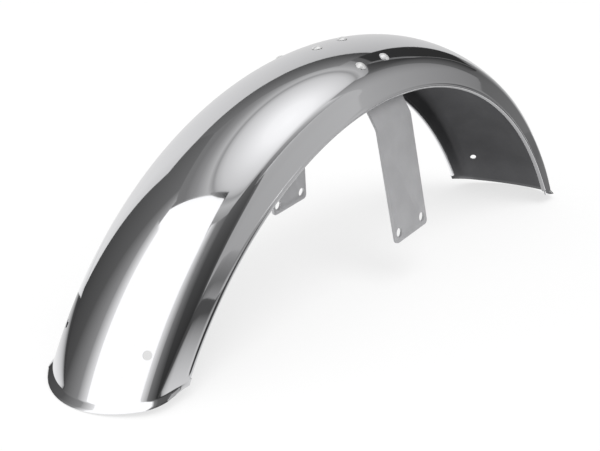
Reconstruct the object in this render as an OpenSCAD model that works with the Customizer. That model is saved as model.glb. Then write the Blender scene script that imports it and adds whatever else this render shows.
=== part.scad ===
// Front mudguard for a motorcycle: a pressed and chromed steel blade, with a
// U-shaped bridge of strap steel riveted under its crown. The bridge's legs bolt
// to the fork. All sizes are in millimetres. The blade is laid out about the
// wheel's axle, then the whole part is set down on its two ends.

/* [Blade] */
// Outside radius of the crown, from the wheel's axle
crown_r = 365; // [340:1:390]
// Width across the outside of the side edges
blade_w = 122.5; // [116:0.5:130]
// Depth of the section, from the crown to the side edges
blade_depth = 43; // [38:0.5:48]
// Radius of the section's crown, from side to side
crown_arc_r = 86; // [80:1:100]
// Radius of the shoulders between the crown and the walls
shoulder_r = 18; // [14:0.5:21]
// Outward lean of the walls, in degrees
wall_lean = 12; // [9:0.5:16]
// Thickness of the blade's sheet
blade_t = 1.2; // [0.8:0.1:2]
// Angle from the top of the arc to each end of the crown
half_arc = 65.8; // [60:0.1:68]
// Tilt of the front end's cut, rising towards its side corners
front_cut_tilt = 11; // [4:0.5:14]
// Tilt of the rear end's cut, rising towards its side corners
rear_cut_tilt = 11; // [4:0.5:14]

/* [Edge bead] */
// Diameter of the rolled bead along each side edge
bead_d = 4.4; // [3.6:0.1:5.5]
// Plain edge left between the bead and the end corner
bead_gap = 5; // [3:0.5:12]

/* [End lip] */
// How far the lip round each end stands out from the crown and shoulders
lip_out = 3; // [1.5:0.1:4.5]
// Thickness of the lip along the blade
lip_t = 1.6; // [1:0.1:3]

/* [Stay holes] */
// Diameter of the stay bolt holes
stay_hole_d = 6.7; // [5:0.1:8.5]
// Angle from the top of the arc to the stay holes
stay_hole_angle = 58; // [54:0.5:60]
// Distance of the stay holes in from the side of the blade
stay_hole_inset = 17.25; // [15.25:0.5:23.25]

/* [Bridge] */
// Width of the strap
strap_w = 50; // [46:0.5:56]
// Thickness of the strap
strap_t = 2.5; // [2:0.1:3.5]
// Angle of the bridge from the top of the arc, negative towards the front
bridge_angle = -5.65; // [-12:0.05:4]
// Angle that the legs are raked back from the bridge's own radius
leg_rake = 2.5; // [0:0.5:4]
// Distance of the upright part of the strap in from the side of the blade
strap_inset = 10.45; // [9.25:0.1:11.75]
// Centre line radius of the bend below each shoulder
shoulder_bend_r = 8; // [6:0.5:9]
// Height over which the set steps outwards, from the upright part to the leg
set_drop = 20.4; // [16:0.2:22]
// Centre line radius of both bends of the set
set_bend_r = 14; // [8:1:16]
// Depth of the set's lower bend below the crown
set_depth = 63; // [58:1:68]
// Outward splay of the legs, in degrees
leg_splay = 5.2; // [2:0.2:6]
// Distance between the legs' middle planes at the bolt holes
bolt_spread = 138.6; // [134:0.2:144]
// Depth of the bolt holes below the crown
bolt_depth = 156.8; // [140:0.2:175]
// Distance between a leg's two bolt holes
bolt_pitch = 35.8; // [30:0.2:36.8]
// Diameter of the bolt holes
bolt_hole_d = 8.5; // [6:0.1:9]
// Metal left between the bolt holes' centres and the end of the leg
leg_end = 8.7; // [7:0.1:14]
// Radius of the leg's bottom corners
leg_corner_r = 4; // [2:0.5:6]

/* [Rivets] */
// Distance between the front and rear rivets
rivet_pitch = 35; // [28:0.5:37]
// Distance of the outer rivets in from the side of the blade
rivet_inset = 17.25; // [16.25:0.5:23.25]
// Diameter of a rivet's head
rivet_head_d = 9.4; // [8:0.1:10.5]
// Height of a rivet's domed head
rivet_head_h = 2.2; // [1.4:0.1:3]
// Diameter of a rivet's shank
rivet_shank_d = 4.8; // [4:0.1:5.5]
// Diameter of a rivet's closed end, inside the bridge
rivet_tail_d = 7.6; // [6.4:0.1:8]
// Height of a rivet's closed end
rivet_tail_h = 1.6; // [1.2:0.1:2.2]

/* [Hidden] */
$fn = 96;

chrome = "silver";
satin_steel = "darkgray";
bright_steel = "gainsboro";

stay_hole_side = blade_w / 2 - stay_hole_inset;
strap_side = blade_w / 2 - strap_inset;
rivet_side = blade_w / 2 - rivet_inset;
rivet_clear = 0.15;
strap_clear = 0.2;
head_clear = 0.05;

// The section: a crown arc, a shoulder arc each side and a straight wall below it.
// Points of the section are [distance sideways, distance from the axle].
reach = blade_w / 2 * cos(wall_lean) + (crown_arc_r - blade_depth) * sin(wall_lean) - shoulder_r;
crown_half = asin(reach / (crown_arc_r - shoulder_r)) - wall_lean;
crown_axis_r = crown_r - crown_arc_r;
shoulder_side = (crown_arc_r - shoulder_r) * sin(crown_half);
shoulder_axis_r = crown_axis_r + (crown_arc_r - shoulder_r) * cos(crown_half);
wall_drop = shoulder_axis_r + shoulder_r * sin(wall_lean) - (crown_r - blade_depth);
wall_len = wall_drop / cos(wall_lean);

// The bridge is flat along the blade, so its edges touch under the crown first
inner_r = crown_r - blade_t;
bridge_drop = inner_r - sqrt(inner_r * inner_r - strap_w * strap_w / 4) + strap_clear;
strap_arc_r = crown_arc_r - blade_t - strap_t / 2;
strap_arc_axis_r = crown_axis_r - bridge_drop;
// Half-angle of the strap's arc, which leaves room for the bend to the upright part
strap_half = asin((strap_side - shoulder_bend_r) / (strap_arc_r - shoulder_bend_r));
upright_r = strap_arc_axis_r + (strap_arc_r - shoulder_bend_r) * cos(strap_half);
set_r = crown_r - set_depth;
bolt_r = crown_r - bolt_depth;
set_side = bolt_spread / 2 - (set_r - bolt_r) * tan(leg_splay);
set_top_r = set_r + set_drop;
// Directions of the leg and of the set, where 90 is straight down
leg_dir = 90 - leg_splay;
set_dir = 90 - atan((set_side - strap_side) / set_drop);
leg_len = (set_r - bolt_r) / cos(leg_splay) + leg_end;
rivet_grip = blade_t + bridge_drop + strap_t;
rivet_turn = rivet_pitch / 2 / crown_r * 180 / PI;

// Angle at which an end's tilted cut meets the circle of a given radius
function cut_angle(radius, tilt) = tilt + acos(crown_r * cos(half_arc - tilt) / radius);

// Height of a lip's lowest point, under its outer edge
function lip_foot(tilt) = (crown_r + lip_out) * cos(cut_angle(crown_r + lip_out, tilt));

// Height at which the blade's two ends stand, measured from the axle
foot_z = min(lip_foot(front_cut_tilt), lip_foot(rear_cut_tilt));

// A section follows a route. Each step of it is [point, direction], where a
// direction of 0 runs sideways and 90 runs straight down.
crown_step = 5;
bend_step = 8;
corner_steps = 6;

// Steps along an arc about a centre, either with its first step or from the next one on
function arc_route(centre, r, from, to, step, first = 0) =
    let (n = ceil(abs(to - from) / step))
    [for (i = [first:n]) let (a = from + (to - from) * i / n)
        [centre + r * sign(to - from) * [sin(a), cos(a)], a]];

// A point moved along a direction
function along(point, a, length) = point + length * [cos(a), -sin(a)];

// Steps round a bend that rounds off a corner between two directions
function bend_trim(r, from, to) = r * tan(abs(to - from) / 2);
function bend_route(corner, r, from, to) = arc_route(
    along(corner, from, -bend_trim(r, from, to)) - r * sign(to - from) * [sin(from), cos(from)],
    r, from, to, bend_step);

// The whole route, from its right half, with a flat between the halves at the centre line
function both_halves(half) = concat(
    [for (i = [len(half) - 1:-1:0]) [[-half[i][0][0], half[i][0][1]], -half[i][1]]], half);

// Closed outline of a sheet that lies along a route, thick by so much on each side of it
function outline(route, outside, inside) = concat(
    [for (p = route) p[0] + outside * [sin(p[1]), cos(p[1])]],
    [for (i = [len(route) - 1:-1:0]) route[i][0] - inside * [sin(route[i][1]), cos(route[i][1])]]);

// The blade's outside, from the middle of the crown over a shoulder and down its wall
wall_dir = 90 - wall_lean;
lip_half_route = concat(
    arc_route([0, crown_axis_r], crown_arc_r, crown_step / 2, crown_half, crown_step),
    arc_route([shoulder_side, shoulder_axis_r], shoulder_r, crown_half, wall_dir, bend_step, 1));
wall_top = lip_half_route[len(lip_half_route) - 1][0];
sheet_half_route = concat(lip_half_route, [[along(wall_top, wall_dir, wall_len), wall_dir]]);

// Carries a section drawn sideways and outwards round the axle, through a half-angle
module sweep(half_angle) {
    rotate([90, 0, 0]) rotate([0, 0, 90 - half_angle]) rotate_extrude(angle = 2 * half_angle)
        rotate(-90) children();
}

// Everything beyond a plane parallel to the rear end's cut and a little above it
module beyond_cut(tilt, above) {
    span = crown_r + blade_w;
    rotate([0, tilt, 0])
        translate([crown_axis_r / 2, -span / 2, crown_r * cos(half_arc - tilt) + above - span])
        cube([span, span, span]);
}

// Places children on the crown's outside, turned to its normal
module on_crown(angle, side) {
    rotate([0, angle, 0]) translate([0, 0, crown_axis_r])
        rotate([-asin(side / crown_arc_r), 0, 0]) translate([0, 0, crown_arc_r]) children();
}

module at_rivets() {
    for (row = [-1, 0, 1], end = [-1, 1])
        on_crown(bridge_angle + end * rivet_turn, row * rivet_side) children();
}

module rivet_holes() {
    at_rivets() cylinder(h = 4 * rivet_grip, d = rivet_shank_d + 2 * rivet_clear, center = true);
}

// The bead is rolled about the middle of the sheet, with its foot on the side edge
module bead(end_angle) {
    middle = along(wall_top, wall_dir, wall_len - bead_d / 2) - blade_t / 2 * [sin(wall_dir), cos(wall_dir)];
    sweep(end_angle) for (s = [-1, 1]) translate([s * middle[0], middle[1]]) circle(d = bead_d);
}

// The lips run over the crown and both shoulders, in the last of the blade above each cut
module lips() {
    intersection() {
        sweep(half_arc + 3) polygon(outline(both_halves(lip_half_route), lip_out, blade_t));
        union() {
            beyond_cut(rear_cut_tilt, lip_t);
            mirror([1, 0, 0]) beyond_cut(front_cut_tilt, lip_t);
        }
    }
}

module blade() {
    edge_r = crown_r - blade_depth;
    corner = min(cut_angle(edge_r, front_cut_tilt), cut_angle(edge_r, rear_cut_tilt));
    color(chrome) difference() {
        union() {
            sweep(half_arc + 3) polygon(outline(both_halves(sheet_half_route), 0, blade_t));
            lips();
            bead(corner - bead_gap / edge_r * 180 / PI);
        }
        beyond_cut(rear_cut_tilt, 0);
        mirror([1, 0, 0]) beyond_cut(front_cut_tilt, 0);
        for (end = [-1, 1], row = [-1, 1])
            on_crown(end * stay_hole_angle, row * stay_hole_side)
                cylinder(h = 8 * blade_t, d = stay_hole_d, center = true);
        rivet_holes();
    }
}

// The kink where the raked legs begin, halfway down the upright part
knee_r = (upright_r + set_top_r + bend_trim(set_bend_r, 90, set_dir)) / 2;

// Middle of the strap as seen from the front, from the crown to a leg's end
strap_half_route = concat(
    arc_route([0, strap_arc_axis_r], strap_arc_r, crown_step / 2, strap_half, crown_step),
    arc_route([strap_side - shoulder_bend_r, upright_r], shoulder_bend_r, strap_half, 90, bend_step, 1),
    bend_route([strap_side, set_top_r], set_bend_r, 90, set_dir),
    bend_route([set_side, set_r], set_bend_r, set_dir, leg_dir),
    [[along([set_side, set_r], leg_dir, leg_len + leg_corner_r), leg_dir]]);

// A point of the side view, so far across a leg and so far down it from the knee
function on_leg(across, down) = [0, knee_r]
    + across * [cos(leg_rake), sin(leg_rake)] + down * [sin(leg_rake), -cos(leg_rake)];

// One rounded bottom corner of a leg in the side view, turned from one angle to another
function leg_corner(side, from, to) = [for (i = [0:corner_steps]) let (a = from + (to - from) * i / corner_steps)
    on_leg(side * (strap_w / 2 - leg_corner_r) + leg_corner_r * cos(a),
        leg_foot - leg_corner_r + leg_corner_r * sin(a))];

// The strap's side view: straight over the crown, then raked below the knee
leg_foot = (knee_r - bolt_r) / cos(leg_rake) + leg_end * cos(leg_splay);
knee_turn = strap_w / 2 * tan(leg_rake / 2);
side_outline = concat(
    [[-strap_w / 2, crown_r], [strap_w / 2, crown_r], [strap_w / 2, knee_r + knee_turn]],
    leg_corner(1, 0, 90), leg_corner(-1, 90, 180), [[-strap_w / 2, knee_r - knee_turn]]);

// Places children at the middle of a leg's bolt holes, with Z outwards along the bolts
module at_bolts() {
    translate([(knee_r - bolt_r) * tan(leg_rake), bolt_spread / 2, bolt_r])
        rotate([leg_splay - 90, 0, 0]) rotate([0, 0, -leg_rake]) children();
}

module bridge() {
    color(satin_steel) difference() {
        rotate([0, bridge_angle, 0]) difference() {
            intersection() {
                rotate([90, 0, 90]) linear_extrude(height = 2 * strap_w, center = true)
                    polygon(outline(both_halves(strap_half_route), strap_t / 2, strap_t / 2));
                rotate([90, 0, 0]) linear_extrude(height = 2 * bolt_spread, center = true) polygon(side_outline);
            }
            for (leg = [0, 1], end = [-1, 1]) mirror([0, leg, 0]) at_bolts()
                translate([end * bolt_pitch / 2, 0, 0]) cylinder(h = 6 * strap_t, d = bolt_hole_d, center = true);
        }
        rivet_holes();
    }
}

module rivet(row, end) {
    dome_r = (rivet_head_d * rivet_head_d / 4 + rivet_head_h * rivet_head_h) / (2 * rivet_head_h);
    color(bright_steel) on_crown(bridge_angle + end * rivet_turn, row * rivet_side) {
        intersection() {
            translate([0, 0, head_clear + rivet_head_h - dome_r]) sphere(r = dome_r);
            translate([0, 0, head_clear]) cylinder(h = 2 * rivet_head_h, d = 2 * rivet_head_d);
        }
        translate([0, 0, -rivet_grip - rivet_tail_h / 2])
            cylinder(h = rivet_grip + rivet_tail_h, d = rivet_shank_d);
        translate([0, 0, -rivet_grip - rivet_tail_h]) cylinder(h = rivet_tail_h, d = rivet_tail_d);
    }
}

// Drops a piece from the axle's frame onto the floor that the blade's ends stand on
module stand() {
    translate([0, 0, -foot_z]) children();
}

stand() blade();
stand() bridge();
stand() rivet(-1, -1);  // rivet_left_front
stand() rivet(-1, 1);  // rivet_left_rear
stand() rivet(0, -1);  // rivet_middle_front
stand() rivet(0, 1);  // rivet_middle_rear
stand() rivet(1, -1);  // rivet_right_front
stand() rivet(1, 1);  // rivet_right_rear
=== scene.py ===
from math import acos, asin, atan, atan2, cos, pi, radians, sin, sqrt, tan

import bmesh
import bpy
from mathutils import Matrix, Vector


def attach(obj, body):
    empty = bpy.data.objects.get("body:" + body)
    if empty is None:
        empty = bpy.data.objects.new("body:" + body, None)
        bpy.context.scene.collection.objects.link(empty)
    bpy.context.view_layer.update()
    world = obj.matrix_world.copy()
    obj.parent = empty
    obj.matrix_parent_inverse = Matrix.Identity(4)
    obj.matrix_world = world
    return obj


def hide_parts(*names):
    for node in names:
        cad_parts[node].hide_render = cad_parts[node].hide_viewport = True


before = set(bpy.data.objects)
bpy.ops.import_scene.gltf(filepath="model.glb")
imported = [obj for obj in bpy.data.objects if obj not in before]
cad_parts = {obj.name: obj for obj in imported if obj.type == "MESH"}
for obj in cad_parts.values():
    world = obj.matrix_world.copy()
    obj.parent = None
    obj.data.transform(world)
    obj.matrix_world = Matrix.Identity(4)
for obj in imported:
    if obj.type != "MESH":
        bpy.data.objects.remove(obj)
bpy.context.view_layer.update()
scene = bpy.context.scene

# Camera and backdrop. The mudguard is seen from its front left and a little above, over
# a white floor and under a white sky. Cards that only reflections see stand round it, as
# a studio stands them round chrome.


def at(x, y, z):
    """A point given in millimetres."""
    return Vector((x, y, z)) / 1000


def linear(hex_colour):
    """Linear RGBA from an sRGB hex colour."""
    parts = [int(hex_colour[i:i + 2], 16) / 255 for i in (1, 3, 5)]
    return tuple(c / 12.92 if c <= 0.04045 else ((c + 0.055) / 1.055) ** 2.4 for c in parts) + (1,)


def add_node(tree, kind, values=(), links=(), **settings):
    """Add a node, set its fields and inputs, and link its inputs from other nodes' outputs."""
    node = tree.nodes.new(kind)
    for name, value in settings.items():
        setattr(node, name, value)
    for name, value in dict(values).items():
        node.inputs[name].default_value = value
    for name, source in dict(links).items():
        tree.links.new(source, node.inputs[name])
    return node


def new_material(name):
    """A material with an empty node tree."""
    material = bpy.data.materials.new(name)
    material.use_nodes = True
    material.node_tree.nodes.clear()
    return material


def add_piece(name, bm):
    """Turn a bmesh into an object of the scene, smooth all over."""
    mesh = bpy.data.meshes.new(name)
    bm.to_mesh(mesh)
    bm.free()
    mesh.shade_smooth()
    piece = bpy.data.objects.new(name, mesh)
    scene.collection.objects.link(piece)
    return piece


def looked_at(tree):
    """Nodes that give 1 to the camera, a reflection or glass, and 0 to light that is cast."""
    path = add_node(tree, "ShaderNodeLightPath")
    seen = path.outputs["Is Camera Ray"]
    for ray in ("Is Glossy Ray", "Is Transmission Ray"):
        either = add_node(tree, "ShaderNodeMath", links={0: seen, 1: path.outputs[ray]},
                          operation="MAXIMUM")
        seen = either.outputs[0]
    return seen


scene.view_settings.view_transform = "Standard"

# The lens and its place are fitted to the mudguard's own outline, holes and rivets.
camera = bpy.data.objects.new("camera", bpy.data.cameras.new("camera"))
scene.collection.objects.link(camera)
scene.camera = camera
camera.location = (-0.66115, -0.48622, 0.31432)
camera.rotation_euler = (radians(71.594), radians(1.594), radians(-50.498))
camera.data.sensor_width = 36
camera.data.lens = 54.964
camera.data.clip_start = 0.01

# The sky is plain white where it is looked at, and a little dimmer as light.
SKY_LIGHT = 0.72
world = bpy.data.worlds.new("white_sky")
scene.world = world
world.use_nodes = True
tree = world.node_tree
tree.nodes.clear()
strength = add_node(tree, "ShaderNodeMapRange", {"To Min": SKY_LIGHT, "To Max": 1.0},
                    {"Value": looked_at(tree)})
sky = add_node(tree, "ShaderNodeBackground", {"Color": linear("#ffffff")},
               {"Strength": strength.outputs["Result"]})
add_node(tree, "ShaderNodeOutputWorld", links={"Surface": sky.outputs["Background"]})

# One wide soft lamp gives the satin steel its form. The chrome doesn't mirror it.
lamp = bpy.data.objects.new("soft_key", bpy.data.lights.new("soft_key", "SUN"))
lamp.data.energy = 0.95
lamp.data.angle = radians(35)
lamp.rotation_euler = (radians(28), radians(-24), 0)
lamp.visible_glossy = False
scene.collection.objects.link(lamp)

# Matt white board, lit from behind: it looks almost white all over, and still takes a
# faint soft shadow, because only part of what is seen is its own glow.
FLOOR_GLOW = 0.7
white_floor = new_material("matt_white_floor")
tree = white_floor.node_tree
share = add_node(tree, "ShaderNodeMath", {1: FLOOR_GLOW}, {0: looked_at(tree)},
                 operation="MULTIPLY")
matt = add_node(tree, "ShaderNodeBsdfDiffuse", {"Color": linear("#ffffff"), "Roughness": 1.0})
plain_white = add_node(tree, "ShaderNodeEmission", {"Color": linear("#ffffff"), "Strength": 1.0})
mixed = add_node(tree, "ShaderNodeMixShader",
                 links={0: share.outputs[0], 1: matt.outputs["BSDF"], 2: plain_white.outputs["Emission"]})
add_node(tree, "ShaderNodeOutputMaterial", links={"Surface": mixed.outputs["Shader"]})

# The board lies a hair below the mudguard's two ends, so that no face of theirs meets it.
FLOOR_DROP, FLOOR_HALF = 0.2, 8
bm = bmesh.new()
bmesh.ops.create_grid(bm, x_segments=1, y_segments=1, size=FLOOR_HALF,
                      matrix=Matrix.Translation(at(0, 0, -FLOOR_DROP)))
floor = add_piece("floor", bm)
floor.data.materials.append(white_floor)

# Lit card: translucent white acrylic with a lamp behind it, smooth and evenly bright, so
# the chrome shows it as clean bands. At this glow a grey shows there about as written.
CARD_GLOW = 1.2
lit_card = new_material("lit_card")
tree = lit_card.node_tree
tone = add_node(tree, "ShaderNodeVertexColor", layer_name="tone")
glow = add_node(tree, "ShaderNodeEmission", {"Strength": CARD_GLOW}, {"Color": tone.outputs["Color"]})
add_node(tree, "ShaderNodeOutputMaterial", links={"Surface": glow.outputs["Emission"]})


def stand_unseen(card):
    """Let only reflections see a card."""
    card.visible_camera = card.visible_diffuse = card.visible_shadow = False


def blend(u, v, corners):
    """A value inside a card, from those at its low left, low right, high right and high left."""
    low_left, low_right, high_right, high_left = corners
    return (low_left * (1 - u) + low_right * u) * (1 - v) + (high_left * (1 - u) + high_right * u) * v


def add_card(name, corners, greys):
    """A card from its four corners in metres and the grey at each."""
    bm = bmesh.new()
    bmesh.ops.create_grid(bm, x_segments=8, y_segments=8, size=0.5)
    tone = bm.loops.layers.float_color.new("tone")
    for face in bm.faces:
        for loop in face.loops:
            level = blend(loop.vert.co.x + 0.5, loop.vert.co.y + 0.5, [linear(grey)[0] for grey in greys])
            loop[tone] = (level, level, level, 1)
    for v in bm.verts:
        v.co = blend(v.co.x + 0.5, v.co.y + 0.5, [Vector(corner) for corner in corners])
    card = add_piece(name, bm)
    card.data.materials.append(lit_card)
    stand_unseen(card)


def ring(bearing, high, far=1.0):
    """A place on the circle of cards, in metres. Bearing 0 is the rear end, 90 the right side."""
    return (far * cos(radians(bearing)), far * sin(radians(bearing)), high)


def upright(name, left, right, high, greys, far=1.0, low=0.0):
    """A card that stands straight up, from one bearing on the circle to another."""
    add_card(name, [ring(left, low, far), ring(right, low, far), ring(right, high, far),
                    ring(left, high, far)], greys)


def flat(name, corners, greys):
    """A card that lies under the mudguard, just above the plane that its ends stand on."""
    add_card(name, [(x, y, 0.001) for x, y in corners], greys)


# The names give where a card stands: behind the mudguard, on the camera's side, and so
# on. Neighbours overlap a little, or one stands further out, so that no gap shows.
add_card("card_left", [ring(161, 0), ring(197, 0), ring(209.5, 1.1), ring(146, 1.1)], ["#ffffff"] * 4)
add_card("card_above_left", [ring(146, 1.1), ring(209.5, 1.1), (-0.6, -0.4, 1.49), (-0.88, 0.96, 1.49)],
         ["#ffffff"] * 4)
add_card("card_gap_above_left",
         [(-0.64, -0.05, 1.47), (-0.66, -0.05, 1.47), (-0.63, -0.43, 1.47), (-0.55, -0.4, 1.47)],
         ["#8c8c8c", "#8c8c8c", "#3c3c3c", "#3c3c3c"])
add_card("card_soft_edge_left",
         [ring(151, 0, 1.02), ring(163, 0, 1.02), ring(148, 1.1, 1.02), ring(137, 1.1, 1.02)],
         ["#848484", "#e8e8e8", "#f0f0f0", "#a0a0a0"])
add_card("card_soft_edge_right",
         [ring(196, 0, 1.02), ring(205, 0, 1.02), ring(220, 1.5, 1.02), ring(213, 1.5, 1.02)],
         ["#e6e6e6", "#6e6e6e", "#7d7d7d", "#e6e6e6"])
add_card("card_front_left",
         [ring(205, 0, 1.03), ring(232, 0, 1.03), ring(232, 1.5, 1.03), ring(220, 1.5, 1.03)],
         ["#6e6e6e", "#3a3a3a", "#5c5c5c", "#7a7a7a"])
upright("card_by_camera", 231, 263, 1.5, ["#303030", "#303030", "#606060", "#5c5c5c"])
upright("card_low_by_camera", 263, 270, 0.95, ["#343434", "#4c4c4c", "#6e6e6e", "#4a4a4a"])
upright("card_front_right", 270, 312, 0.95, ["#969696", "#b0b0b0", "#aeaeae", "#a8a8a8"])
upright("card_above_front_right", 263, 312, 1.5, ["#696969", "#a0a0a0", "#d4d4d4", "#767676"], low=0.95)
upright("card_right", 312, 338, 1.5, ["#a6a6a6", "#7b7b7b", "#767676", "#989898"])
upright("card_low_right", 338, 352, 0.33, ["#6a6a6a", "#6e6e6e", "#575757", "#555555"])
upright("card_low_rear", 352, 362, 0.33, ["#6e6e6e", "#cccccc", "#585858", "#575757"])
upright("card_low_right_of_rear", 362, 375, 0.33, ["#cccccc", "#dcdcdc", "#5a5a5a", "#585858"])
upright("card_rear", 338, 360.5, 1.3, ["#606060", "#262626", "#3a3a3a", "#6a6a6a"], low=0.32)
upright("card_rear_gap", 360.5, 362.5, 1.25, ["#707070"] * 4, low=0.32)
upright("card_right_of_rear", 362.5, 375.5, 1.2, ["#2c2c2c", "#2c2c2c", "#323232", "#303030"], low=0.32)
add_card("card_rear_corner",
         [ring(375.5, 0.95, 0.98), ring(385, 1.0, 0.98), ring(383, 1.15, 0.98), ring(375.5, 1.25, 0.98)],
         ["#303030", "#303030", "#4a4a4a", "#4a4a4a"])
upright("card_above_rear", 355, 386, 1.44, ["#505050", "#505050", "#626262", "#5c5c5c"], far=1.15, low=1.2)
add_card("card_behind_right", [(0.95, 0.255, 0), (-0.02, 1.02, 0), (-0.02, 1.02, 1.02), (0.95, 0.255, 1.0)],
         ["#c8c8c8", "#dadada", "#cbcbcb", "#afafaf"])
add_card("card_behind", [(-0.02, 1.02, 0), ring(98.5, 0), ring(102.7, 0.8), (-0.02, 1.02, 1.02)],
         ["#dadada", "#d4d4d4", "#c8c8c8", "#cbcbcb"])
add_card("card_above_right", [(0.95, 0.255, 1.0), (-0.02, 1.02, 1.02), (-0.02, 1.02, 1.5), (0.95, 0.255, 1.5)],
         ["#3c3c3c", "#626262", "#696969", "#828282"])
upright("card_dark_behind", 90, 128, 1.5, ["#373737", "#484848", "#686868", "#646464"], far=1.05)
add_card("card_behind_left",
         [ring(128, 0, 1.05), ring(152, 0, 1.05), ring(137, 1.5, 1.05), ring(128, 1.5, 1.05)],
         ["#464646", "#848484", "#9c9c9c", "#707070"])

# Soft overhead light: white cloth over a round lamp. It is brightest in the middle and
# falls off to a dim rim, with one darker ring that the crown shows as a fine arc.
OVERHEAD_HIGH, OVERHEAD_R, OVERHEAD_REACH = 1.5, 1.3, 1.4
bm = bmesh.new()
bmesh.ops.create_circle(bm, cap_ends=True, segments=48, radius=OVERHEAD_R,
                        matrix=Matrix.Translation((0.0, -0.02, OVERHEAD_HIGH)))
overhead = add_piece("card_overhead", bm)
soft_box = new_material("soft_overhead_light")
tree = soft_box.node_tree
place = add_node(tree, "ShaderNodeTexCoord")
shifted = add_node(tree, "ShaderNodeMapping",
                   {"Location": (-0.15, 0.29, -OVERHEAD_HIGH), "Scale": (1, 1.15, 1)},
                   {"Vector": place.outputs["Object"]})
spread = add_node(tree, "ShaderNodeVectorMath", links={0: shifted.outputs["Vector"]}, operation="LENGTH")
near = add_node(tree, "ShaderNodeMapRange", {"From Max": OVERHEAD_REACH}, {"Value": spread.outputs["Value"]})
fall = add_node(tree, "ShaderNodeValToRGB", links={"Fac": near.outputs["Result"]})
fall.color_ramp.elements.remove(fall.color_ramp.elements[1])
fall.color_ramp.elements[0].color = linear("#fafafa")
for spot, grey in ((0.18, "#f2f2f2"), (0.36, "#d8d8d8"), (0.49, "#c4c4c4"), (0.545, "#b0b0b0"),
                   (0.575, "#929292"), (0.625, "#b0b0b0"), (0.7, "#9a9a9a"), (0.76, "#8a8a8a"),
                   (0.9, "#747474")):
    fall.color_ramp.elements.new(spot).color = linear(grey)
glow = add_node(tree, "ShaderNodeEmission", {"Strength": CARD_GLOW}, {"Color": fall.outputs["Color"]})
add_node(tree, "ShaderNodeOutputMaterial", links={"Surface": glow.outputs["Emission"]})
overhead.data.materials.append(soft_box)
stand_unseen(overhead)

# The cards on the ground shade the walls of the blade, which look down at them.
flat("card_on_near_floor", [(-0.6, -0.3), (-0.6, -1.0), (-0.1, -1.0), (-0.1, -0.34)],
     ["#404040", "#383838", "#3a3a3a", "#4a4a4a"])
flat("card_edge_of_near_floor", [(-0.6, -0.1), (-0.6, -0.3), (-0.1, -0.34), (-0.1, -0.1)],
     ["#a8a8a8", "#404040", "#4a4a4a", "#d8d8d8"])
flat("card_on_middle_floor", [(-0.1, -0.1), (-0.1, -0.55), (0.3, -0.55), (0.3, -0.1)],
     ["#d8d8d8", "#565656", "#9a9a9a", "#a0a0a0"])
flat("card_on_outer_floor", [(-0.1, -0.55), (-0.1, -1.0), (0.3, -1.0), (0.3, -0.55)],
     ["#565656", "#484848", "#a4a4a4", "#9a9a9a"])
flat("card_under_arch", [(-0.1, 0.05), (-0.1, -0.1), (0.3, -0.1), (0.3, 0.03)],
     ["#b4b4b4", "#c8c8c8", "#a0a0a0", "#969696"])
flat("card_under_near_end", [(-0.3, 0.05), (-0.3, -0.1), (-0.1, -0.1), (-0.1, 0.05)],
     ["#cccccc", "#cccccc", "#c8c8c8", "#b4b4b4"])
flat("card_on_right_floor", [(0.345, -0.12), (0.345, -0.7), (1.0, -0.6), (1.0, -0.12)],
     ["#5a5a5a", "#646464", "#606060", "#686868"])
flat("card_edge_of_right_floor", [(0.345, 0.0), (0.345, -0.12), (1.0, -0.12), (1.0, 0.0)],
     ["#787878", "#5a5a5a", "#686868", "#b4b4b4"])
flat("card_on_far_floor", [(-0.9, 0.36), (-0.2, 0.4), (-0.2, 1.0), (-0.9, 1.0)],
     ["#404040", "#404040", "#3a3a3a", "#383838"])
flat("card_edge_of_far_floor", [(-0.9, 0.05), (-0.2, 0.05), (-0.2, 0.4), (-0.9, 0.36)],
     ["#b0b0b0", "#f0f0f0", "#404040", "#404040"])
flat("card_on_light_floor", [(-0.2, 0.05), (0.5, 0.05), (0.5, 1.0), (-0.2, 1.0)],
     ["#eeeeee", "#f4f4f4", "#f0f0f0", "#b8b8b8"])

# Blade. One sheet of steel, pressed into a curved channel with a turned-out lip round
# each end and a bead rolled along each side, then chromed. Holes for the wire stays and
# the bridge's rivets go through it.

# Sizes are in millimetres. Radii along the blade are measured from the wheel's axle.
CROWN_R = 365.0
CROWN_ARC_R = 86.0  # across the crown
CROWN_STEPS = 22
SHOULDER_R = 18.0
SHOULDER_STEPS = 14
WALL_LEAN = radians(12)
WALL_STEPS = 4
BLADE_W = 122.5
BLADE_DEPTH = 43.0
SHEET_T = 1.2
HALF_ARC = radians(65.8)
SPARE_ARC = radians(3)  # spun past each end, and cut off
RINGS = 184
AXLE_Z = -148.923
CUT_TILT = radians(11)  # off square to the crown
LIP_OUT = 2.7
LIP_BEND_R = 2.0
LIP_BEND_STEPS = 6
LIP_FLARE = radians(33)
LIP_STEPS = 3
LIP_LIFT = 0.88
LIP_FADE = 1.3  # of the wall's length, over which the lip fades
LIP_LEAST = 0.05
BEAD_D = 4.4
BEAD_GAP = 5.0
WORN_LIP = 0.2
STAY_HOLE_R = 3.35
STAY_HOLE_TURN = radians(58)
HOLE_SIDE = BLADE_W / 2 - 17.25
RIVET_PITCH = 35.0
RIVET_HOLE_R = 2.55
BRIDGE_TURN = radians(-5.65)
SAME_POINT = 1e-6  # metres
THIN_EDGE = 2e-5

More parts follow.
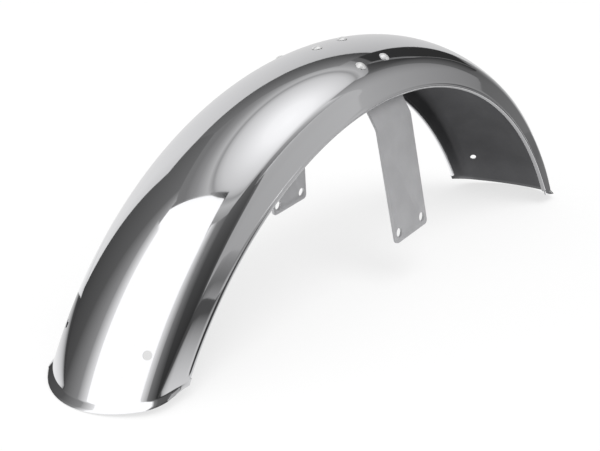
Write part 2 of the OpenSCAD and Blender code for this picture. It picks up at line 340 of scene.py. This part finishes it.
crown_axis = CROWN_R - CROWN_ARC_R
crown_half = asin((BLADE_W / 2 * cos(WALL_LEAN) + (CROWN_ARC_R - BLADE_DEPTH) * sin(WALL_LEAN) - SHOULDER_R)
                  / (CROWN_ARC_R - SHOULDER_R)) - WALL_LEAN
shoulder_y = (CROWN_ARC_R - SHOULDER_R) * sin(crown_half)
shoulder_z = crown_axis + (CROWN_ARC_R - SHOULDER_R) * cos(crown_half)
wall_len = (shoulder_z + SHOULDER_R * sin(WALL_LEAN) - (CROWN_R - BLADE_DEPTH)) / cos(WALL_LEAN)
wall_down = Vector((0, sin(WALL_LEAN), -cos(WALL_LEAN)))
wall_out = Vector((0, cos(WALL_LEAN), sin(WALL_LEAN)))
wall_top = Vector((0, shoulder_y, shoulder_z)) + SHOULDER_R * wall_out


def from_axle(point):
    """A point in millimetres about the axle, as a place in the scene."""
    return (Vector(point) + Vector((0, 0, AXLE_Z))) / 1000


def spin_last(bm, verts, centre, angle, steps):
    """Carry loose points round an axis along X, and return where they end."""
    made = bmesh.ops.spin(bm, geom=verts, cent=from_axle(centre), axis=(1, 0, 0), angle=-angle, steps=steps)
    return [v for v in made["geom_last"] if isinstance(v, bmesh.types.BMVert)]


def go_on(bm, verts, run):
    """Carry loose points along a straight run in millimetres, and return where they end."""
    end = bmesh.ops.extrude_vert_indiv(bm, verts=verts)["verts"]
    bmesh.ops.translate(bm, verts=end, vec=run / 1000)
    return end


# The right half of the section is drawn, mirrored, and spun about the axle.
bm = bmesh.new()
start = bm.verts.new(from_axle((0, 0, CROWN_R)))
end = spin_last(bm, [start], (0, 0, crown_axis), crown_half, CROWN_STEPS)
end = spin_last(bm, end, (0, shoulder_y, shoulder_z), radians(90) - WALL_LEAN - crown_half, SHOULDER_STEPS)
for run in [(wall_len - BEAD_D / 2) / WALL_STEPS] * WALL_STEPS + [BEAD_D / 2]:
    end = go_on(bm, end, wall_down * run)
bmesh.ops.mirror(bm, geom=bm.verts[:] + bm.edges[:], axis="Y", merge_dist=SAME_POINT)
spun_half = HALF_ARC + SPARE_ARC
bmesh.ops.rotate(bm, verts=bm.verts, cent=from_axle((0, 0, 0)), matrix=Matrix.Rotation(-spun_half, 3, "Y"))
bmesh.ops.spin(bm, geom=bm.verts[:] + bm.edges[:], cent=from_axle((0, 0, 0)), axis=(0, 1, 0),
               angle=2 * spun_half, steps=RINGS)
bmesh.ops.remove_doubles(bm, verts=bm.verts, dist=SAME_POINT)

# The bead runs between two of the sheet's rings. Along it the sheet ends inside the roll.
edge_r = CROWN_R - BLADE_DEPTH
edge_half = CUT_TILT + acos(CROWN_R * cos(HALF_ARC - CUT_TILT) / edge_r)
ring_turn = 2 * spun_half / RINGS
bead_half = ring_turn * round((edge_half - BEAD_GAP / edge_r) / ring_turn)
rolled = []
for f in bm.faces:
    middle = f.calc_center_median() * 1000
    across = Vector((0, abs(middle.y), sqrt(middle.x ** 2 + (middle.z - AXLE_Z) ** 2)))
    in_roll = (across - wall_top).dot(wall_down) > wall_len - BEAD_D / 2
    if in_roll and abs(atan2(middle.x, middle.z - AXLE_Z)) < bead_half:
        rolled.append(f)
bmesh.ops.delete(bm, geom=rolled, context="FACES")


def sheet_outward(spoke, across, side):
    """The sheet's outward direction at a place given along its spoke and across the blade."""
    if across < CROWN_ARC_R * sin(crown_half):
        lean = atan2(across, spoke.length - crown_axis)
    else:
        lean = atan2(across - shoulder_y, spoke.length - shoulder_z)
        lean = max(crown_half, min(pi / 2 - WALL_LEAN, lean))
    return spoke.normalized() * cos(lean) + Vector((0, side * sin(lean), 0))


# The lip is a narrow flange beyond a tight bend, and fades away down the walls. The cut
# lies LIP_LIFT further in, which leaves room for the flange's thickness over the ground.
bend_run = LIP_BEND_R * sin(LIP_FLARE)
bend_rise = LIP_BEND_R * (1 - cos(LIP_FLARE))
lip_run = bend_run + (LIP_OUT - bend_rise) / tan(LIP_FLARE)
lip_rings = [LIP_BEND_R * sin(LIP_FLARE * i / LIP_BEND_STEPS) for i in range(LIP_BEND_STEPS + 1)]
lip_rings += [bend_run + (lip_run - bend_run) * i / LIP_STEPS for i in range(1, LIP_STEPS + 1)]
slant = sin(HALF_ARC - CUT_TILT)
for end_side in (-1, 1):
    square = Vector((end_side * sin(CUT_TILT), 0, cos(CUT_TILT)))
    cut = from_axle(square * (CROWN_R * cos(HALF_ARC - CUT_TILT) + LIP_LIFT))
    for run in lip_rings:
        half = [f for f in bm.faces if f.calc_center_median().x * end_side > 0.1]
        half = half + list({e for f in half for e in f.edges}) + list({v for f in half for v in f.verts})
        bmesh.ops.bisect_plane(bm, geom=half, dist=1e-7, plane_co=cut + square * (lip_run - run) * slant / 1000,
                               plane_no=square, clear_inner=run == lip_rings[-1])
    for v in bm.verts:
        run = lip_run - (v.co - cut).dot(square) * 1000 / slant
        if run <= 0 or v.co.x * end_side < 0:
            continue
        spoke = Vector((v.co.x * 1000, 0, v.co.z * 1000 - AXLE_Z))
        across = abs(v.co.y * 1000)
        outward = sheet_outward(spoke, across, 1 if v.co.y > 0 else -1)
        down_wall = max(0, (wall_top - Vector((0, across, spoke.length))).dot(-wall_down))
        fade = max(LIP_LEAST, 1 - down_wall / wall_len * LIP_FADE)
        if run < bend_run:
            rise = LIP_BEND_R - sqrt(LIP_BEND_R ** 2 - run ** 2)
        else:
            rise = bend_rise + (run - bend_run) * tan(LIP_FLARE)
        in_plane = outward - square * outward.dot(square)
        v.co += in_plane / in_plane.length_squared * rise * fade / 1000
bmesh.ops.dissolve_degenerate(bm, dist=THIN_EDGE, edges=bm.edges)
bmesh.ops.recalc_face_normals(bm, faces=bm.faces)
blade = add_piece("chrome_blade", bm)

# Polished chrome plate on buffed steel: a cool, clear mirror whose long bands waver a
# little, because a pressed sheet is never quite even. The buffing's own scratches are too
# fine to show in the render, so their haze is drawn as coarse as soft patches of 11 mm.
PRESSING_WAVE, BUFFING_PATCH = 40, 11
polished_chrome = new_material("polished_chrome_plate")
tree = polished_chrome.node_tree
place = add_node(tree, "ShaderNodeTexCoord")
buffing = add_node(tree, "ShaderNodeTexNoise", {"Scale": 1000 / BUFFING_PATCH, "Detail": 3.0},
                   {"Vector": place.outputs["Object"]})
haze = add_node(tree, "ShaderNodeMapRange", {"To Min": 0.03, "To Max": 0.06}, {"Value": buffing.outputs["Fac"]})
ripple = add_node(tree, "ShaderNodeTexNoise", {"Scale": 1000 / PRESSING_WAVE, "Detail": 1.0},
                  {"Vector": place.outputs["Object"]})
pressing = add_node(tree, "ShaderNodeBump", {"Strength": 1.0, "Distance": 0.00005},
                    {"Height": ripple.outputs["Fac"]})
metal = add_node(tree, "ShaderNodeBsdfPrincipled", {"Base Color": linear("#ececee"), "Metallic": 1.0},
                 {"Roughness": haze.outputs["Result"], "Normal": pressing.outputs["Normal"]})
add_node(tree, "ShaderNodeOutputMaterial", links={"Surface": metal.outputs["BSDF"]})

# Unpolished chrome inside the blade, thin over raw steel that nobody buffed: a dull grey
# that takes light but mirrors nothing, a little paler in patches where more chrome reached
# it. Its two greys are also painted darker than such plating is, as painted shade for the
# inside of the arch, which faces down and away from the light. The rolled steel's grain is
# well under 0.1 mm, and is drawn 2.5 mm coarse.
PLATING_PATCH, ROLLED_GRAIN = 35, 2.5
dull_chrome_and_painted_shade = new_material("unpolished_chrome_inside_and_painted_shade")
tree = dull_chrome_and_painted_shade.node_tree
place = add_node(tree, "ShaderNodeTexCoord")
patches = add_node(tree, "ShaderNodeTexNoise", {"Scale": 1000 / PLATING_PATCH, "Detail": 4.0},
                   {"Vector": place.outputs["Object"]})
# Painted shade: both greys are darker than the bare plating, and stand in for the shade inside the arch.
thin_plate_and_painted_shade = add_node(tree, "ShaderNodeMix", {6: linear("#545456"), 7: linear("#6a6a6c")},
                      {0: patches.outputs["Fac"]}, data_type="RGBA")
grain = add_node(tree, "ShaderNodeTexNoise", {"Scale": 1000 / ROLLED_GRAIN, "Detail": 4.0},
                 {"Vector": place.outputs["Object"]})
haze = add_node(tree, "ShaderNodeMapRange", {"To Min": 0.42, "To Max": 0.54}, {"Value": grain.outputs["Fac"]})
roughened = add_node(tree, "ShaderNodeBump", {"Strength": 0.5, "Distance": 0.00005},
                     {"Height": grain.outputs["Fac"]})
metal = add_node(tree, "ShaderNodeBsdfPrincipled", {"Metallic": 1.0},
                 {"Base Color": thin_plate_and_painted_shade.outputs[2], "Roughness": haze.outputs["Result"],
                  "Normal": roughened.outputs["Normal"]})
add_node(tree, "ShaderNodeOutputMaterial", links={"Surface": metal.outputs["BSDF"]})

# The sheet gets its thickness inwards, and the plating on its inside is the dull one.
blade.data.materials.append(polished_chrome)
blade.data.materials.append(dull_chrome_and_painted_shade)
sheet = blade.modifiers.new("sheet", "SOLIDIFY")
sheet.thickness = SHEET_T / 1000
sheet.offset = -1
sheet.material_offset = 1
sheet.material_offset_rim = 0
sheet.use_even_offset = True


def bake(piece):
    """Turn what a piece's modifiers make into its own mesh."""
    bpy.context.view_layer.update()
    ready = piece.evaluated_get(bpy.context.evaluated_depsgraph_get())
    mesh = bpy.data.meshes.new_from_object(ready)
    piece.modifiers.clear()
    old, piece.data = piece.data, mesh
    bpy.data.meshes.remove(old)
    mesh.name = piece.name


def wear_edges(piece, width, least_bend):
    """Round off the edges that bend more than an angle, by a width in millimetres."""
    worn = piece.modifiers.new("worn_edges", "BEVEL")
    worn.width = width / 1000
    worn.segments = 2
    worn.limit_method = "ANGLE"
    worn.angle_limit = least_bend
    bake(piece)


def cut_holes(piece, places, radius, depth):
    """Drill round holes through a piece. Each place is a point and a direction."""
    # The drill is turned a little, so that its corners keep off the sheet's own edges.
    off_edges = Matrix.Rotation(radians(2), 4, "Z")
    bm = bmesh.new()
    for point, direction in places:
        turn = direction.to_track_quat("Z", "Y").to_matrix().to_4x4() @ off_edges
        bmesh.ops.create_cone(bm, cap_ends=True, segments=48, radius1=radius / 1000, radius2=radius / 1000,
                              depth=depth / 1000, matrix=Matrix.Translation(point) @ turn)
    drill = add_piece("drill", bm)
    bore = piece.modifiers.new("holes", "BOOLEAN")
    bore.operation = "DIFFERENCE"
    bore.solver = "EXACT"
    bore.object = drill
    bake(piece)
    bpy.data.objects.remove(drill)


def on_crown(angle, side):
    """A point on the crown's outside and the normal there."""
    lean = asin(side / CROWN_ARC_R)
    spoke = Vector((sin(angle), 0, cos(angle)))
    normal = spoke * cos(lean) + Vector((0, sin(lean), 0))
    return from_axle(spoke * crown_axis + normal * CROWN_ARC_R), normal


wear_edges(blade, WORN_LIP, radians(65))
stay_places = [on_crown(end_side * STAY_HOLE_TURN, side)
               for end_side in (-1, 1) for side in (-HOLE_SIDE, HOLE_SIDE)]
cut_holes(blade, stay_places, STAY_HOLE_R, 8)
rivet_places = {}
for row, row_side in (("left", -1), ("middle", 0), ("right", 1)):
    for end, end_side in (("front", -1), ("rear", 1)):
        rivet_turn = BRIDGE_TURN + end_side * RIVET_PITCH / 2 / CROWN_R
        rivet_places[row + "_" + end] = on_crown(rivet_turn, row_side * HOLE_SIDE)
cut_holes(blade, rivet_places.values(), RIVET_HOLE_R, 8)
blade.data.set_sharp_from_angle(angle=radians(40))
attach(blade, "root")
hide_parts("blade")

# Edge bead. The same sheet, rolled inwards along each side to stiffen the edge, and
# chromed with it. It blends into the wall on both sides, and stops just short of each
# end corner.

BEAD_IN = 1.25  # from the middle of the sheet to the roll's, inwards
BEAD_BLEND_R = 1.5
BEAD_SINK = 0.1  # how far the roll stands below the wall's edge
BEAD_RINGS = 170
bead_r = BEAD_D / 2
reach = bead_r + BEAD_BLEND_R
blends = []
for gap in (SHEET_T / 2 + BEAD_IN + BEAD_BLEND_R, SHEET_T / 2 - BEAD_IN + BEAD_BLEND_R):
    rise = sqrt(reach ** 2 - gap ** 2)
    blends.append((gap, rise, atan2(rise, gap)))
outer, inner = blends
bead_centre = wall_top + wall_down * (wall_len - bead_r + BEAD_SINK) - wall_out * (SHEET_T / 2 + BEAD_IN)
outer_centre = bead_centre + wall_out * outer[0] - wall_down * outer[1]
inner_centre = bead_centre - wall_out * inner[0] - wall_down * inner[1]
bm = bmesh.new()
first = bm.verts.new(from_axle(outer_centre - wall_out * BEAD_BLEND_R))
end = spin_last(bm, [first], outer_centre, -outer[2], 5)
end = spin_last(bm, end, bead_centre, pi + outer[2] + inner[2], 24)
end = spin_last(bm, end, inner_centre, -inner[2], 6)
bm.edges.new((first, end[0]))
bmesh.ops.mirror(bm, geom=bm.verts[:] + bm.edges[:], axis="Y", merge_dist=SAME_POINT)
bmesh.ops.rotate(bm, verts=bm.verts, cent=from_axle((0, 0, 0)), matrix=Matrix.Rotation(-bead_half, 3, "Y"))
section = bm.edges[:]
caps = bmesh.ops.edgeloop_fill(bm, edges=section)["faces"]
made = bmesh.ops.spin(bm, geom=bm.verts[:] + section, cent=from_axle((0, 0, 0)), axis=(0, 1, 0),
                      angle=2 * bead_half, steps=BEAD_RINGS)
far_section = [e for e in made["geom_last"] if isinstance(e, bmesh.types.BMEdge)]
caps += bmesh.ops.edgeloop_fill(bm, edges=far_section)["faces"]
bmesh.ops.recalc_face_normals(bm, faces=bm.faces)
bmesh.ops.bevel(bm, geom=[e for cap in caps for e in cap.edges], offset=0.0005, offset_type="OFFSET",
                segments=3, profile=0.5, affect="EDGES", material=-1)
bead = add_piece("edge_bead", bm)
bead.data.materials.append(polished_chrome)
bead.data.set_sharp_from_angle(angle=radians(50))
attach(bead, "root")

# Bridge. A strap of plain steel, bent in a press to run under the crown and down both
# sides, and drilled for the fork's bolts. It is zinc plated before it is riveted in.

# Zinc plate with a clear satin finish: an even pale grey with a broad soft sheen and no
# image in it, clouded a little where it dried. Its crystals are a few hundredths of a
# millimetre across, too fine to show, and are drawn 1.4 mm coarse.
ZINC_CLOUD, ZINC_GRAIN = 22, 1.4
satin_zinc = new_material("satin_zinc_plate")
tree = satin_zinc.node_tree
place = add_node(tree, "ShaderNodeTexCoord")
clouds = add_node(tree, "ShaderNodeTexNoise", {"Scale": 1000 / ZINC_CLOUD, "Detail": 5.0},
                  {"Vector": place.outputs["Object"]})
zinc_tone = add_node(tree, "ShaderNodeMix", {6: linear("#c4c4c6"), 7: linear("#dadadc")},
                     {0: clouds.outputs["Fac"]}, data_type="RGBA")
grain = add_node(tree, "ShaderNodeTexNoise", {"Scale": 1000 / ZINC_GRAIN, "Detail": 3.0},
                 {"Vector": place.outputs["Object"]})
haze = add_node(tree, "ShaderNodeMapRange", {"To Min": 0.46, "To Max": 0.62}, {"Value": grain.outputs["Fac"]})
roughened = add_node(tree, "ShaderNodeBump", {"Strength": 0.5, "Distance": 0.00003},
                     {"Height": grain.outputs["Fac"]})
metal = add_node(tree, "ShaderNodeBsdfPrincipled", {"Metallic": 0.65},
                 {"Base Color": zinc_tone.outputs[2], "Roughness": haze.outputs["Result"],
                  "Normal": roughened.outputs["Normal"]})
add_node(tree, "ShaderNodeOutputMaterial", links={"Surface": metal.outputs["BSDF"]})

STRAP_W = 50.0
STRAP_T = 2.5
STRAP_CLEAR = 0.2  # left between the strap and the crown
STRAP_SIDE = BLADE_W / 2 - 10.45
SHOULDER_BEND_R = 8.0
SET_DEPTH = 63.0  # from the crown to where the strap has been set outwards
SET_DROP = 20.4
SET_BEND_R = 14.0
LEG_SPLAY = radians(5.2)  # outwards
LEG_RAKE = radians(2.5)  # forwards, below the knee
LEG_END = 8.7  # below the bolt holes' line
LEG_CORNER_R = 4.0
BOLT_SPREAD = 138.6
BOLT_DEPTH = 156.8
BOLT_PITCH = 35.8
BOLT_HOLE_R = 4.25
WORN_STRAP = 0.3

inner_r = CROWN_R - SHEET_T
bridge_drop = inner_r - sqrt(inner_r ** 2 - STRAP_W ** 2 / 4) + STRAP_CLEAR
strap_arc_r = CROWN_ARC_R - SHEET_T - STRAP_T / 2
strap_axis = crown_axis - bridge_drop
strap_half = asin((STRAP_SIDE - SHOULDER_BEND_R) / (strap_arc_r - SHOULDER_BEND_R))
upright_r = strap_axis + (strap_arc_r - SHOULDER_BEND_R) * cos(strap_half)
set_r = CROWN_R - SET_DEPTH
bolt_r = CROWN_R - BOLT_DEPTH
set_side = BOLT_SPREAD / 2 - (set_r - bolt_r) * tan(LEG_SPLAY)
set_lean = atan((set_side - STRAP_SIDE) / SET_DROP)
upper_trim = SET_BEND_R * tan(set_lean / 2)
lower_trim = SET_BEND_R * tan((set_lean - LEG_SPLAY) / 2)
upright_len = upright_r - (set_r + SET_DROP + upper_trim)
knee_r = upright_r - upright_len / 2
set_down = Vector((0, sin(set_lean), -cos(set_lean)))
set_out = Vector((0, cos(set_lean), sin(set_lean)))
leg_down = Vector((0, sin(LEG_SPLAY), -cos(LEG_SPLAY)))
leg_len = (set_r - bolt_r) / cos(LEG_SPLAY) + LEG_END
upper_bend = (0, STRAP_SIDE + SET_BEND_R, set_r + SET_DROP + upper_trim)
lower_bend = Vector((0, set_side, set_r)) - set_down * lower_trim - set_out * SET_BEND_R

# The right half of the strap is drawn along its middle, mirrored, and widened.
bm = bmesh.new()
end = [bm.verts.new(from_axle((0, 0, strap_axis + strap_arc_r)))]
end = spin_last(bm, end, (0, 0, strap_axis), strap_half, 16)
end = spin_last(bm, end, (0, STRAP_SIDE - SHOULDER_BEND_R, upright_r), pi / 2 - strap_half, 10)
end = go_on(bm, end, Vector((0, 0, -upright_len / 2)))
end = go_on(bm, end, Vector((0, 0, -upright_len / 2)))
end = spin_last(bm, end, upper_bend, -set_lean, 8)
end = go_on(bm, end, set_down * (SET_DROP / cos(set_lean) - upper_trim - lower_trim))
end = spin_last(bm, end, lower_bend, set_lean - LEG_SPLAY, 8)
end = go_on(bm, end, leg_down * (leg_len - lower_trim))
bmesh.ops.mirror(bm, geom=bm.verts[:] + bm.edges[:], axis="Y", merge_dist=SAME_POINT)
bmesh.ops.translate(bm, verts=bm.verts, vec=at(-STRAP_W / 2, 0, 0))
wide = bmesh.ops.extrude_edge_only(bm, edges=bm.edges[:])["geom"]
bmesh.ops.translate(bm, verts=[v for v in wide if isinstance(v, bmesh.types.BMVert)], vec=at(STRAP_W, 0, 0))

# Below the knee the legs are raked, and their corners are rounded.
knee = from_axle((0, 0, knee_r))
bmesh.ops.rotate(bm, verts=[v for v in bm.verts if v.co.z < knee.z - 1e-5], cent=knee,
                 matrix=Matrix.Rotation(-LEG_RAKE, 3, "Y"))
corners = [v for v in bm.verts if len(v.link_edges) == 2 and v.co.z < knee.z]
bmesh.ops.bevel(bm, geom=corners, offset=LEG_CORNER_R / 1000, offset_type="OFFSET", segments=6, profile=0.5,
                affect="VERTICES", material=-1)
bridge_place = Matrix.Rotation(BRIDGE_TURN, 3, "Y")
bmesh.ops.rotate(bm, verts=bm.verts, cent=from_axle((0, 0, 0)), matrix=bridge_place)
bmesh.ops.recalc_face_normals(bm, faces=bm.faces)
bridge = add_piece("strap_bridge", bm)
bridge.data.materials.append(satin_zinc)
strap = bridge.modifiers.new("strap", "SOLIDIFY")
strap.thickness = STRAP_T / 1000
strap.offset = 0
strap.use_even_offset = True

bolt_places = []
for side in (-1, 1):
    outward = Vector((0, side * cos(LEG_SPLAY), sin(LEG_SPLAY)))
    along_leg = Vector((cos(LEG_RAKE), -side * sin(LEG_RAKE) * sin(LEG_SPLAY), sin(LEG_RAKE) * cos(LEG_SPLAY)))
    middle = Vector(((knee_r - bolt_r) * tan(LEG_RAKE), side * BOLT_SPREAD / 2, bolt_r))
    for end_side in (-1, 1):
        bolt = middle + along_leg * end_side * BOLT_PITCH / 2
        bolt_places.append((from_axle(bridge_place @ bolt), bridge_place @ outward))
cut_holes(bridge, bolt_places, BOLT_HOLE_R, 10)
cut_holes(bridge, rivet_places.values(), RIVET_HOLE_R, 14)
wear_edges(bridge, WORN_STRAP, radians(40))
bridge.data.set_sharp_from_angle(angle=radians(35))
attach(bridge, "root")
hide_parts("bridge")

# Rivets. Six solid steel rivets with low domed heads on the crown. They go through the
# blade and the bridge, and their tails are closed over inside.

# Bright steel, headed cold in a die: small pale heads with one broad soft glint each. The
# die leaves marks of about 0.2 mm, too fine to show, which are drawn 1.5 mm coarse.
DIE_MARK = 1.5
bright_steel = new_material("bright_steel_rivet")
tree = bright_steel.node_tree
place = add_node(tree, "ShaderNodeTexCoord")
marks = add_node(tree, "ShaderNodeTexNoise", {"Scale": 1000 / DIE_MARK, "Detail": 2.0},
                 {"Vector": place.outputs["Object"]})
haze = add_node(tree, "ShaderNodeMapRange", {"To Min": 0.32, "To Max": 0.44}, {"Value": marks.outputs["Fac"]})
dents = add_node(tree, "ShaderNodeBump", {"Strength": 0.4, "Distance": 0.00003},
                 {"Height": marks.outputs["Fac"]})
metal = add_node(tree, "ShaderNodeBsdfPrincipled", {"Base Color": linear("#fafafa"), "Metallic": 0.6},
                 {"Roughness": haze.outputs["Result"], "Normal": dents.outputs["Normal"]})
add_node(tree, "ShaderNodeOutputMaterial", links={"Surface": metal.outputs["BSDF"]})

HEAD_R = 4.7
HEAD_H = 2.2
HEAD_CLEAR = 0.05  # left between the head and the crown
SHANK_R = 2.4
TAIL_R = 3.8
TAIL_H = 1.6
grip = SHEET_T + bridge_drop + STRAP_T
dome_r = (HEAD_R ** 2 + HEAD_H ** 2) / (2 * HEAD_H)
for name, (point, normal) in rivet_places.items():
    # Half of the section, from the tail's middle up to the head's rim, then the dome.
    bm = bmesh.new()
    outline = [bm.verts.new(at(side, 0, high)) for side, high in (
        (0, -grip - TAIL_H), (TAIL_R, -grip - TAIL_H), (TAIL_R, -grip), (SHANK_R, -grip),
        (SHANK_R, HEAD_CLEAR), (HEAD_R, HEAD_CLEAR))]
    for one, other in zip(outline, outline[1:]):
        bm.edges.new((one, other))
    bmesh.ops.spin(bm, geom=outline[-1:], cent=at(0, 0, HEAD_CLEAR + HEAD_H - dome_r), axis=(0, 1, 0),
                   angle=-asin(HEAD_R / dome_r), steps=8)
    bmesh.ops.spin(bm, geom=bm.verts[:] + bm.edges[:], cent=(0, 0, 0), axis=(0, 0, 1), angle=2 * pi,
                   steps=40, use_merge=True)
    bmesh.ops.remove_doubles(bm, verts=bm.verts, dist=SAME_POINT)
    bmesh.ops.recalc_face_normals(bm, faces=bm.faces)
    rims = [e for e in bm.edges
            if e.calc_face_angle() > radians(40) and e.verts[0].co.xy.length > SHANK_R * 1.2 / 1000]
    bmesh.ops.bevel(bm, geom=rims, offset=0.0003, offset_type="OFFSET", segments=2, profile=0.5,
                    affect="EDGES", material=-1)
    bmesh.ops.rotate(bm, verts=bm.verts, cent=(0, 0, 0), matrix=normal.to_track_quat("Z", "Y").to_matrix())
    bmesh.ops.translate(bm, verts=bm.verts, vec=point)
    rivet = add_piece("domed_rivet_" + name, bm)
    rivet.data.materials.append(bright_steel)
    rivet.data.set_sharp_from_angle(angle=radians(50))
    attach(rivet, "root")
    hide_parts("rivet_" + name)
